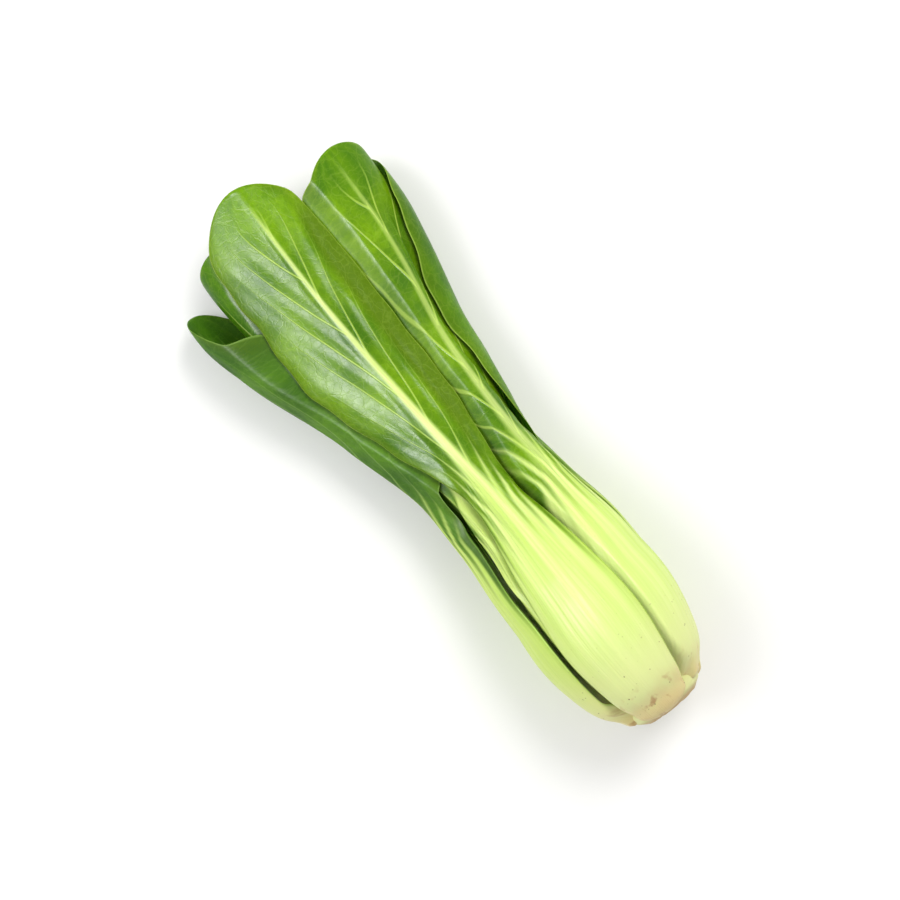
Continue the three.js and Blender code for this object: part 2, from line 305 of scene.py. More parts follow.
RINGS: tuple[Ring, ...] = (
    Ring(
        name="outer",
        radius_share=1.0,
        stalk=StalkSizes(bulb_half=21.5, bulb_depth=7.6, neck_half=9.5, neck_depth=4.2),
        blade_half=24.0,
        tips=(1.0, 0.93, 0.9, 0.96, 0.92),
        leans=(-3.0, 2.0, -14.0, 6.0, -2.0),
        flares=(0.0, 4.0, 8.0, 3.0, 1.0),
        stalk_shares=(0.82, 1.0, 0.95, 0.9, 1.07),
        blade_shares=(0.9, 1.0, 1.0, 0.95, 1.0),
        bends=(3.0, 2.0, 1.5, -2.0, 1.0),
        folds=(1.5, 1.2, -1.3, 1.2, -1.0),
        rib_clarity=(1.0, 0.9, 0.8, 0.6, 0.9),
        roundness=(0.8, 0.75, 0.5, 0.75, 0.75),
        tones=(LeafTone.BRIGHT, LeafTone.FRESH, LeafTone.DEEP, LeafTone.BRIGHT, LeafTone.DEEP),
        rows=300,
        columns=96,
    ),
    Ring(
        name="inner",
        radius_share=0.86,
        stalk=StalkSizes(bulb_half=12.5, bulb_depth=4.8, neck_half=6.5, neck_depth=2.6),
        blade_half=21.0,
        tips=(0.95, 0.91, 0.87, 0.84),
        leans=(-6.0, 8.0, 5.0, -4.0),
        flares=(2.0, 3.0, 0.0, 1.0),
        stalk_shares=(1.0, 1.05, 0.95, 0.9),
        blade_shares=(1.0, 0.95, 1.0, 0.9),
        bends=(1.5, -1.5, 1.0, -1.0),
        folds=(-1.5, 1.5, 1.0, -1.0),
        rib_clarity=(0.8, 0.8, 0.8, 0.8),
        roundness=(0.75, 0.75, 0.7, 0.7),
        tones=(LeafTone.FRESH, LeafTone.DEEP, LeafTone.DEEP, LeafTone.FRESH),
        rows=210,
        columns=72,
    ),
    Ring(
        name="heart",
        radius_share=0.55,
        stalk=StalkSizes(bulb_half=5.5, bulb_depth=2.8, neck_half=3.4, neck_depth=1.7),
        blade_half=11.0,
        tips=(0.78, 0.69, 0.6),
        leans=(3.0, -4.0, 2.0),
        flares=(0.0, 0.0, 0.0),
        stalk_shares=(1.0, 1.0, 0.9),
        blade_shares=(1.0, 0.95, 0.85),
        bends=(0.6, -0.6, 0.4),
        folds=(0.0, 0.0, 0.0),
        rib_clarity=(1.0, 1.0, 1.0),
        roundness=(0.5, 0.5, 0.5),
        tones=(LeafTone.YOUNG, LeafTone.YOUNG, LeafTone.YOUNG),
        rows=130,
        columns=48,
    ),
)


@dataclass(frozen=True)
class LeafHabit:
    """How every leaf of this plant grows: its margins, ribs, veins and waves.

    Lengths are in millimetres. The edge, fall, rise and rib fields shape the two faces. A fold's
    start and width are shares of the way from the midrib to the margin. A crimp wave is given by
    its strength, its length and its shift from leaf to leaf. The pale core and the pale halo are
    shares of the midrib's half width. A pair of fades is where a rise or fall starts and ends,
    past the neck or short of the tip.
    """

    first_foot: float = 0.6
    foot_climb: float = 16.0
    neck_retreat: float = 0.13
    edge: float = 1.2
    edge_share: float = 0.62
    fall_power: float = 2.4
    rib_depth: float = 1.0
    rib_gap: float = 0.4
    rib_rise: float = 0.32
    rib_reach: float = 0.93
    blade_thickness: float = 0.5
    thinning: float = 0.45
    foot_rounding: float = 1.2
    foot_depth: float = 1.8
    rise_share: float = 0.55
    rise_width: float = 12.0
    wave_height: float = 0.5
    wave_length: float = 53.0
    wave_shift: float = 2.3
    tip_radius: float = 18.0
    tip_crease: float = 1.2
    tip_fades: tuple[float, float] = (28.0, 3.0)
    crimp_share: float = 0.014
    crimp_waves: tuple[tuple[float, float, float], ...] = ((0.35, 2.7, 4.0), (0.5, 6.1, 1.0))
    fold_start: float = 0.42
    fold_width: float = 0.26
    roll_height: float = 0.6
    crisp_height: float = 0.22
    trough_depth: float = 0.3
    trough_middle: float = 0.3
    vein_spacing: float = 27.0
    vein_lean: float = 2.1
    vein_height: float = 0.12
    side_shift: float = 0.41
    pale_core: float = 0.14
    pale_halo: float = 0.48
    pale_fade: float = 0.35
    ray_length: float = 11.0
    green_edge: float = 30.0
    green_fades: tuple[float, float] = (-12.0, 20.0)
    stalk_ribs: int = 13
    stalk_rib_height: float = 0.13


@dataclass(frozen=True)
class Leaf:
    """One leaf of the head, with its profiles as functions of the place x along the head."""

    head: HeadForm
    habit: LeafHabit
    ring: Ring
    rank: int
    index: int
    youth: float

    @property
    def name(self) -> str:
        """Returns the name of the leaf's piece."""
        return f"{self.ring.name}_leaf_{self.rank + 1}"

    @property
    def solids(self) -> tuple[str, str]:
        """Returns the names of the frame's two nodes for this leaf."""
        return tuple(f"{self.ring.name}_{part}_{self.rank + 1}" for part in ("stalk", "blade"))

    @cached_property
    def foot(self) -> float:
        """Returns the place where the leaf leaves the crown."""
        return self.habit.first_foot + self.habit.foot_climb * self.youth**1.3

    @cached_property
    def neck(self) -> float:
        """Returns the place where the stalk turns into the blade."""
        retreat = self.habit.neck_retreat * self.youth**1.5
        return self.head.length * (self.head.neck_place - retreat)

    @cached_property
    def tip(self) -> float:
        """Returns the place of the leaf's tip."""
        return self.head.length * self.ring.tips[self.rank]

    @cached_property
    def rib_end(self) -> float:
        """Returns the place where the midrib ends."""
        return between(self.neck, self.tip, self.habit.rib_reach)

    @cached_property
    def blade_length(self) -> float:
        """Returns the way from the neck to the tip."""
        return self.tip - self.neck

    @cached_property
    def widest(self) -> float:
        """Returns the place where the stalk is widest."""
        return self.head.bulb_place * self.head.length + 0.3 * self.foot

    def past_neck(self, x: Numbers, start: float, end: float) -> Numbers:
        """Returns a smooth rise from 0 to 1 between two ways past the neck, in millimetres."""
        return smoothstep(x, self.neck + start, self.neck + end)

    def near_tip(self, x: Numbers, start: float, end: float) -> Numbers:
        """Returns a smooth rise from 0 to 1 between two ways short of the tip, in millimetres."""
        return smoothstep(x, self.tip - start, self.tip - end)

    def mid_turn(self, x: Numbers) -> Numbers:
        """Returns the turn of the leaf's middle line."""
        lean = self.ring.leans[self.rank] * smoothstep(x, self.neck, self.tip)
        return np.radians(self.head.first_azimuth + self.index * self.head.divergence + lean)

    def base_radius(self, x: Numbers) -> Numbers:
        """Works out where the outer face lies if no older leaf is in the way.

        Args:
            x: places along the head.

        Returns:
            The radii.
        """
        inward = smoothstep(x, 0.2 * self.head.length, self.neck)
        flare = smoothstep(x, between(self.neck, self.tip, 0.4), self.tip)
        share = between(1.0, self.ring.radius_share, inward)
        return self.head.envelope(x) * share + self.ring.flares[self.rank] * flare

    @cached_property
    def stalk_half(self) -> SmoothCurve:
        """Draws the width of the stalk, which runs on as the midrib.

        Returns:
            Half of the width at each place.
        """
        sizes, bulb = self.ring.stalk, self.widest
        bulb_half = sizes.bulb_half * self.ring.stalk_shares[self.rank]
        foot_half = 0.85 * min(float(self.head.envelope(self.foot)), bulb_half)
        return SmoothCurve(
            [
                (self.foot, foot_half),
                (between(self.foot, bulb, 0.35), 0.8 * bulb_half),
                (bulb, bulb_half),
                (between(bulb, self.neck, 0.5), between(bulb_half, sizes.neck_half, 0.42)),
                (self.neck, sizes.neck_half),
                (self.neck + 0.12 * self.blade_length, 0.6 * sizes.neck_half),
                (self.neck + 0.35 * self.blade_length, 0.3 * sizes.neck_half),
                (self.rib_end, 0.12 * sizes.neck_half + 0.2),
            ]
        )

    @cached_property
    def stalk_depth(self) -> SmoothCurve:
        """Draws the thickness of the stalk and of the midrib.

        Returns:
            The thickness at each place.
        """
        sizes, bulb, least = self.ring.stalk, self.widest, self.habit.rib_depth
        return SmoothCurve(
            [
                (self.foot, self.habit.foot_depth),
                (between(self.foot, bulb, 0.4), 0.7 * sizes.bulb_depth),
                (bulb, sizes.bulb_depth),
                (between(bulb, self.neck, 0.5), (sizes.bulb_depth + sizes.neck_depth) / 2.0),
                (self.neck, sizes.neck_depth),
                (self.neck + 0.12 * self.blade_length, 0.6 * sizes.neck_depth),
                (self.neck + 0.35 * self.blade_length, max(0.32 * sizes.neck_depth, least)),
                (self.rib_end, least),
            ]
        )

    @cached_property
    def blade_half(self) -> SmoothCurve:
        """Draws the outline of the blade, apart from its round tip.

        Returns:
            Half of the blade's width at each place.
        """
        widest = self.ring.blade_half * self.ring.blade_shares[self.rank]
        outline = (
            (0.0, (self.ring.stalk.neck_half + 0.6) / widest),
            (0.1, 0.52),
            (0.25, 0.76),
            (0.45, 0.95),
            (0.62, 1.0),
            (0.8, 0.95),
            (0.9, 0.86),
            (0.96, 0.72),
            (0.99, 0.52),
            (1.0, 0.4),
        )
        return SmoothCurve(
            [(self.neck + share * self.blade_length, half * widest) for share, half in outline]
        )

    def half(self, x: Numbers) -> Numbers:
        """Works out the leaf's width, from the stalk's to the blade's, round at the tip.

        Args:
            x: places along the head.

        Returns:
            Half of the width at each place.
        """
        habit, bladed = self.habit, self.past_neck(x, -6.0, 2.0)
        wide = between(self.stalk_half(x), self.blade_half(x), bladed)
        tip_radius = habit.tip_radius * self.ring.roundness[self.rank]
        round_end = np.sqrt(2.0 * tip_radius * np.maximum(self.tip - x, 0.0) + 0.02)
        crimp = sum(
            strength * np.sin(x / length + shift * self.index)
            for strength, length, shift in habit.crimp_waves
        )
        half = soft_min(wide, round_end, habit.tip_crease)
        return half * (1.0 + habit.crimp_share * crimp * bladed)

    def from_rib(self, x: Numbers, distance: Numbers) -> tuple[Numbers, Numbers]:
        """Measures from the midrib, which bends a little to one side towards the tip.

        Args:
            x: places along the head.
            distance: signed ways from the leaf's middle line, in millimetres.

        Returns:
            The signed way from the midrib, and the same as a share of the way to the margin.
        """
        bent = smoothstep(x, self.neck + 5.0, self.tip - 0.4 * self.blade_length)
        bend, half = self.ring.bends[self.rank] * bent, self.half(x)
        bend = np.clip(bend, -0.4 * half, 0.4 * half)
        way = distance - bend
        return way, np.clip(way / (half - np.sign(way) * bend), -1.0, 1.0)

    def before_tip(self, x: Numbers) -> Numbers:
        """Returns 1 along the blade, with a smooth fall to 0 at the tip."""
        return 1.0 - self.near_tip(x, *self.habit.tip_fades)

    def ripple(self, x: Numbers, share: Numbers) -> Numbers:
        """Waves the margins.

        Args:
            x: places along the head.
            share: shares of the way from the midrib to the margin.

        Returns:
            How far each point dips below the leaf's own radius.
        """
        habit = self.habit
        phase = 2.0 * np.pi * x / habit.wave_length + habit.wave_shift * self.index
        reach = smoothstep(x, self.neck, between(self.neck, self.tip, 0.3)) * self.before_tip(x)
        return habit.wave_height * share**2 * reach * (1.0 + np.sin(phase + np.sign(share)))

    def vein_phase(self, x: Numbers, distance: Numbers) -> Numbers:
        """Counts the side veins: each is a line where the phase is a whole number.

        On the stalk the lines run along it, as its ribs. On the blade they leave the midrib
        one after another and bend up towards the margin.

        Args:
            x: places along the head.
            distance: signed ways from the midrib, in millimetres.

        Returns:
            The phase at each point.
        """
        habit = self.habit
        way, share = self.from_rib(x, distance)
        share = np.abs(share)
        climb = soft_max(x, self.neck - 4.0, 8.0)
        lean = habit.vein_lean * self.ring.blade_half * share * (1.4 + 0.5 * share)
        wobble = 0.16 * np.sin(0.07 * x + 1.7 * self.index) + 0.12 * np.sin(0.27 * way + 0.05 * x)
        side = np.where(way > 0.0, habit.side_shift, 0.0)
        return (climb - lean) / habit.vein_spacing + side + wobble

    def paleness(self, x: np.ndarray, distance: np.ndarray) -> np.ndarray:
        """Returns how far each point has the stalk's pale colour rather than the blade's green.

        Args:
            x: places along the head.
            distance: signed ways from the midrib, in millimetres.

        Returns:
            Values from 0, green, to 1, pale.
        """
        habit, rib_half = self.habit, self.stalk_half(x)
        way, share = self.from_rib(x, distance)
        halo = habit.pale_halo * rib_half + 0.35
        rib = 1.0 - smoothstep(np.abs(way), habit.pale_core * rib_half, halo)
        rib = rib * self.ring.rib_clarity[self.rank]
        rays = habit.ray_length * np.cos(2.0 * np.pi * self.vein_phase(x, distance))
        edge_back = habit.green_edge * np.abs(share) ** 3
        stalk = 1.0 - self.past_neck(x - rays + edge_back, *habit.green_fades)
        fade = 1.0 - habit.pale_fade * smoothstep(x, self.neck + 20.0, self.tip)
        fade = fade * (1.0 - self.near_tip(x, 22.0, 2.0))
        return np.clip(np.maximum(rib * fade, stalk), 0.0, 1.0)

    def folded(self, x: np.ndarray, distance: np.ndarray) -> np.ndarray:
        """Finds the margin that the leaf turns in.

        Args:
            x: places along the head.
            distance: signed ways from the midrib, in millimetres.

        Returns:
            How far each point lies in that margin, from 0 to 1.
        """
        fold = self.ring.folds[self.rank]
        share = self.from_rib(x, distance)[1] * np.sign(fold)
        start = self.habit.fold_start + 0.3 * self.near_tip(x, 40.0, 0.0)
        reach = self.past_neck(x, 0.0, 35.0) * self.before_tip(x)
        return smoothstep(share, start, start + self.habit.fold_width) * reach

    def relief(self, x: np.ndarray, distance: np.ndarray) -> np.ndarray:
        """Returns the fine relief of the blade, in millimetres outwards: veins, quilting, waves.

        Args:
            x: places along the head.
            distance: signed ways from the midrib, in millimetres.

        Returns:
            The heights.
        """
        habit = self.habit
        way, share = self.from_rib(x, distance)
        blade = self.past_neck(x, 2.0, 30.0) * self.before_tip(x)
        beside_rib = smoothstep(np.abs(way), 0.4 * self.stalk_half(x), self.stalk_half(x) + 3.0)
        quilt = np.cos(2.0 * np.pi * self.vein_phase(x, distance)) * (1.0 - share**2)
        roll = np.sin(x / 13.0 + 2.1 * self.index) * np.sin(2.4 * share + 0.9 * self.index)
        crisp = share**6 * np.sin(x / 2.9 + 1.3 * self.index + 2.0 * share)
        fold = np.abs(self.ring.folds[self.rank]) * self.folded(x, distance)
        from_trough = np.abs(np.abs(share) - habit.trough_middle)
        trough = habit.trough_depth * (1.0 - smoothstep(from_trough, 0.0, habit.trough_middle))
        trough = trough * (1.0 - self.near_tip(x, 30.0, 8.0))
        shape = habit.vein_height * quilt * beside_rib + habit.roll_height * roll
        shape = shape + habit.crisp_height * crisp - fold - trough
        return blade * shape

    def faces(self, x: np.ndarray, distance: np.ndarray) -> tuple[np.ndarray, np.ndarray]:
        """Works out both faces of the leaf.

        Args:
            x: places along the head.
            distance: signed ways from the midrib, in millimetres.

        Returns:
            The depths of the outer and of the inner face below the leaf's outer radius.
        """
        habit = self.habit
        depth, stalk_half = self.stalk_depth(x), self.stalk_half(x)
        way = np.abs(self.from_rib(x, distance)[0])
        edge = np.minimum(habit.edge, habit.edge_share * depth)
        fall = (depth - edge) * (way / stalk_half) ** habit.fall_power
        rounded = between(0.2, 1.0, self.past_neck(x, -30.0, 10.0))
        stalk_outer = rounded * fall
        stalk_inner = depth - (1.0 - rounded) * np.minimum(fall, depth - edge)
        rise = smoothstep(way, stalk_half, stalk_half + habit.rise_width)
        low = between(1.0, habit.rib_rise, self.past_neck(x, 0.0, 50.0))
        low = low * (1.0 - 0.8 * self.near_tip(x, 30.0, 5.0))
        blade_outer = (depth + habit.rib_gap) * (1.0 - habit.rise_share * rise) * low
        bladed = self.past_neck(x, -12.0, 6.0)
        outer = between(stalk_outer, soft_min(stalk_outer, blade_outer, 0.5 * depth), bladed)
        inner = between(stalk_inner, blade_outer + habit.blade_thickness, bladed)
        share = np.clip(np.abs(distance) / self.half(x), 0.0, 1.0)
        at_foot = 1.0 - smoothstep(x, self.foot, self.foot + habit.foot_rounding)
        ends = np.maximum(self.near_tip(x, 1.0, 0.0), at_foot)
        thinning = habit.thinning * (inner - outer) * np.maximum(share**14, ends)
        ribs = np.cos(np.pi * habit.stalk_ribs * distance / stalk_half)
        ribbed = smoothstep(x, 14.0, 45.0) * (1.0 - self.past_neck(x, 0.0, 20.0))
        strong = between(0.4, 1.0, smoothstep(x, 0.5 * self.neck, self.neck))
        ribs_height = habit.stalk_rib_height * ribs * ribbed * strong * (1.0 - share**6)
        return outer + thinning - ribs_height, inner - thinning


class Room:
    """The room left inside the leaves that are already placed.

    It is kept as a radius for each millimetre along the head and each of the columns round it.
    """

    columns: int = 360
    spare_length: float = 8.0
    spare_share: float = 1.3
    clear_reach: tuple[int, int] = (4, 6)
    mean_reach: tuple[int, int] = (2, 3)
    crease: float = 0.8

    def __init__(self, head: HeadForm, leaf_gap: float, fill_margin: float) -> None:
        """Starts with the whole head free.

        Args:
            head: the head's form.
            leaf_gap: the gap from one leaf to the next, in millimetres.
            fill_margin: how far past a leaf's edge a younger leaf starts to dip under it.
        """
        self.head, self.leaf_gap, self.fill_margin = head, leaf_gap, fill_margin
        self.turn_step = 2.0 * np.pi / self.columns
        self.places = np.arange(0.0, head.length + self.spare_length)
        self.turns = np.arange(self.columns) * self.turn_step
        start = self.spare_share * head.envelope(self.places)
        self.radius = np.repeat(start[:, None], self.columns, axis=1)

    def eased(self) -> np.ndarray:
        """Returns the room with its steps eased.

        The least value near each point comes first, so that the means after it are nowhere
        larger than the room was.

        Returns:
            The eased room.
        """

        def along_turns(field: np.ndarray, reach: int) -> np.ndarray:
            """Stacks the field with its neighbours round the head.

            Args:
                field: one value for each place and turn.
                reach: how many neighbours count on each side.

            Returns:
                The fields, one for each step.
            """
            return np.stack([np.roll(field, step, axis=1) for step in range(-reach, reach + 1)])

        def along_places(field: np.ndarray, reach: int) -> np.ndarray:
            """Stacks the field with its neighbours along the head.

            Args:
                field: one value for each place and turn.
                reach: how many neighbours count on each side.

            Returns:
                The fields, one for each step.
            """
            rows = np.arange(len(field))
            steps = range(-reach, reach + 1)
            return np.stack([field[np.clip(rows + step, 0, len(field) - 1)] for step in steps])

        round_head, along_head = self.clear_reach
        field = along_turns(self.radius, round_head).min(axis=0)
        field = along_places(field, along_head).min(axis=0)
        round_head, along_head = self.mean_reach
        for _ in range(2):
            field = along_turns(field, round_head).mean(axis=0)
            field = along_places(field, along_head).mean(axis=0)
        return field

    def sample(self, field: np.ndarray, x: np.ndarray, turn: np.ndarray) -> np.ndarray:
        """Reads a field at any place and turn.

        Args:
            field: one value for each place and turn.
            x: places along the head.
            turn: turns round it.

        Returns:
            The values.
        """
        row = np.clip(x, 0.0, len(self.places) - 1.001)
        column = np.mod(turn / self.turn_step, self.columns)
        i, j = row.astype(int), column.astype(int) % self.columns
        following = (j + 1) % self.columns
        share = column - np.floor(column)
        low = between(field[i, j], field[i, following], share)
        high = between(field[i + 1, j], field[i + 1, following], share)
        return between(low, high, row - i)

    def outer_radius(
        self, leaf: Leaf, ceiling: np.ndarray, x: np.ndarray, turn: np.ndarray, distance: np.ndarray
    ) -> np.ndarray:
        """Works out the radius of a leaf's outer face inside the room that older leaves left.

        Args:
            leaf: the leaf.
            ceiling: the eased room.
            x: places along the head.
            turn: turns round it.
            distance: signed ways from the midrib, in millimetres.

        Returns:
            The radii.
        """
        share = np.where(x > leaf.neck, np.clip(distance / leaf.half(x), -1.0, 1.0), 0.0)
        wanted = leaf.base_radius(x) - leaf.ripple(x, share)
        wanted = wanted + leaf.relief(x, distance) / self.head.depth_scale(x, turn)
        return soft_min(wanted, self.sample(ceiling, x, turn), self.crease)

    def take_out(self, leaf: Leaf, ceiling: np.ndarray) -> None:
        """Takes the space that a leaf fills, and the gap inside it, out of the room.

        Args:
            leaf: the leaf.
            ceiling: the eased room in which the leaf was placed.
        """
        x, turn = np.meshgrid(self.places, self.turns, indexing="ij")
        middle = leaf.mid_turn(x)
        turn = turn + np.round((middle - turn) / (2.0 * np.pi)) * 2.0 * np.pi
        distance = (self.head.arc_to(x, turn) - self.head.arc_to(x, middle)) * leaf.base_radius(x)
        half = np.where(x < leaf.neck - 1.0, leaf.stalk_half(x), leaf.blade_half(x))
        filled = (np.abs(distance) < half + self.fill_margin) & (x > leaf.foot - 1.0)
        filled &= x < leaf.tip + 1.0
        inner = leaf.faces(x, np.clip(distance, -half, half))[1]
        outer = self.outer_radius(leaf, ceiling, x, turn, distance)
        free = outer - (inner + self.leaf_gap) / self.head.depth_scale(x, turn)
        self.radius = np.where(filled, np.minimum(self.radius, free), self.radius)


@dataclass(frozen=True)
class Placement:
    """Where the head lies in the frame, read from the crown's solid."""

    offset: Vector

    @classmethod
    def from_crown(cls, head: HeadForm) -> "Placement":
        """Finds the offset from the head's own coordinates to the frame's.

        Args:
            head: the head's form.

        Returns:
            The placement.
        """
        low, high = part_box("crown")
        middle = (low + high) / 2.0
        height = float(head.axis_height(0.0)) * METRES
        return cls(Vector((low.x, middle.y, middle.z - height)))

    def to_frame(self, points: np.ndarray) -> np.ndarray:
        """Returns points in metres in the frame, from millimetres along the head."""
        return points * METRES + np.array(self.offset)


def add_piece(name: str, bm: bmesh.types.BMesh) -> bpy.types.Object:
    """Turns a bmesh into a smooth-shaded object in the scene.

    Args:
        name: the piece's name.
        bm: its mesh, which is freed.

    Returns:
        The object.
    """
    mesh = bpy.data.meshes.new(name)
    bm.to_mesh(mesh)
    bm.free()
    mesh.shade_smooth()
    piece = bpy.data.objects.new(name, mesh)
    bpy.context.scene.collection.objects.link(piece)
    return piece


def read_points(mesh: bpy.types.Mesh) -> np.ndarray:
    """Reads where a mesh's vertices are.

    Args:
        mesh: the mesh.

    Returns:
        One row for each vertex.
    """
    flat = np.empty(len(mesh.vertices) * 3)
    mesh.vertices.foreach_get("co", flat)
    return flat.reshape(-1, 3)


def write_points(mesh: bpy.types.Mesh, points: np.ndarray) -> None:
    """Moves a mesh's vertices.

    Args:
        mesh: the mesh.
        points: one row for each vertex.
    """
    mesh.vertices.foreach_set("co", points.ravel())
    mesh.update()


def write_values(mesh: bpy.types.Mesh, **values: np.ndarray) -> None:
    """Keeps numbers for each vertex, which the finishes read.

    Args:
        mesh: the mesh.
        values: one number for each vertex, under each attribute's name.
    """
    for name, numbers in values.items():
        attribute = mesh.attributes.new(name, "FLOAT", "POINT")
        attribute.data.foreach_set("value", numbers.astype(np.float32))


class Wiring:
    """Adds nodes to a material and links them, so that a finish reads as a few lines."""

    def __init__(self, name: str) -> None:
        """Makes an empty material with a Principled shader.

        Args:
            name: the material's name.
        """
        self.material = bpy.data.materials.new(name)
        self.material.use_nodes = True
        self.tree = self.material.node_tree
        self.shader = self.tree.nodes["Principled BSDF"]

    def add(self, kind: str, inputs: Optional[dict] = None, **settings: object) -> bpy.types.Node:
        """Adds a node.

        Args:
            kind: the node's type.
            inputs: values or sockets for its inputs, by name or number.
            settings: its own properties.

        Returns:
            The node.
        """
        node = self.tree.nodes.new(kind)
        for key, value in settings.items():
            setattr(node, key, value)
        for key, value in (inputs or {}).items():
            self.feed(node.inputs[key], value)
        return node

    def feed(self, socket: bpy.types.NodeSocket, value: object) -> None:
        """Gives a socket a value, or links it to another socket.

        Args:
            socket: the input.
            value: a number, a colour or an output socket.
        """
        if isinstance(value, bpy.types.NodeSocket):
            self.tree.links.new(value, socket)
        elif isinstance(value, tuple) and len(value) == 3 and socket.type == "RGBA":
            socket.default_value = (*value, 1.0)
        else:
            socket.default_value = value

    def value(self, name: str) -> bpy.types.NodeSocket:
        """Returns a number that the mesh holds for each vertex."""
        return self.add("ShaderNodeAttribute", attribute_name=name).outputs["Fac"]

    def math(self, operation: str, *values: object) -> bpy.types.NodeSocket:
        """Returns the result of a sum on sockets or numbers."""
        return self.add("ShaderNodeMath", dict(enumerate(values)), operation=operation).outputs[0]

    def times(self, first: object, second: object) -> bpy.types.NodeSocket:
        """Returns the product of two values."""
        return self.math("MULTIPLY", first, second)

    def plus(self, first: object, second: object) -> bpy.types.NodeSocket:
        """Returns the sum of two values."""
        return self.math("ADD", first, second)

    def vector(self, **parts: object) -> bpy.types.NodeSocket:
        """Returns a vector made of its X, Y and Z parts."""
        return self.add("ShaderNodeCombineXYZ", parts).outputs[0]

    def off_middle(self) -> bpy.types.NodeSocket:
        """Returns how far a point lies from a leaf's middle line, as a share of the half width."""
        return self.math("ABSOLUTE", self.value("share"))

    def plain(self, **values: object) -> None:
        """Sets even values on the shader, with underscores for the spaces in their names."""
        for name, value in values.items():
            self.shader.inputs[name.replace("_", " ")].default_value = value

    def ramp(
        self, value: object, low: float, high: float, start: object = 0.0, end: object = 1.0
    ) -> bpy.types.NodeSocket:
        """Maps a value smoothly from one range to another.

        Args:
            value: the value.
            low: where the rise starts.
            high: where it ends.
            start: the result up to low.
            end: the result from high on.

        Returns:
            The mapped value.
        """
        inputs = {"Value": value, "From Min": low, "From Max": high, "To Min": start, "To Max": end}
        node = self.add("ShaderNodeMapRange", inputs, interpolation_type="SMOOTHSTEP")
        return node.outputs["Result"]

    def mix(self, share: object, first: object, second: object) -> bpy.types.NodeSocket:
        """Mixes two colours.

        Args:
            share: the second colour's share.
            first: the first colour.
            second: the second colour.

        Returns:
            The mixed colour.
        """
        node = self.add("ShaderNodeMix", data_type="RGBA")
        self.feed(node.inputs["Factor"], share)
        first_colour, second_colour = (plug for plug in node.inputs if plug.type == "RGBA")
        self.feed(first_colour, first)
        self.feed(second_colour, second)
        return next(plug for plug in node.outputs if plug.type == "RGBA")

    def paint(
        self, colour: object, layers: Sequence[tuple[object, Colour]]
    ) -> bpy.types.NodeSocket:
        """Lays colours over one another.

        Args:
            colour: the colour at the bottom.
            layers: the share and the colour of each layer, from the lowest up.

        Returns:
            The colour on top.
        """
        for share, layer in layers:
            colour = self.mix(share, colour, layer)
        return colour

    def noise(self, vector: object, scale: float, detail: float = 3.0) -> bpy.types.NodeSocket:
        """Returns a soft noise from 0 to 1.

        Args:
            vector: where it is read.
            scale: how many waves it has to one unit.
            detail: how many finer waves it holds.

        Returns:
            The noise.
        """
        inputs = {"Vector": vector, "Scale": scale, "Detail": detail}
        return self.add("ShaderNodeTexNoise", inputs).outputs["Fac"]

    def bump(self, height: object, distance: float = METRES) -> None:
        """Gives the surface a fine relief.

        Args:
            height: the height, in units of distance.
            distance: the size of one unit, in metres.
        """
        node = self.add("ShaderNodeBump", {"Height": height, "Distance": distance, "Strength": 1.0})
        self.feed(self.shader.inputs["Normal"], node.outputs["Normal"])


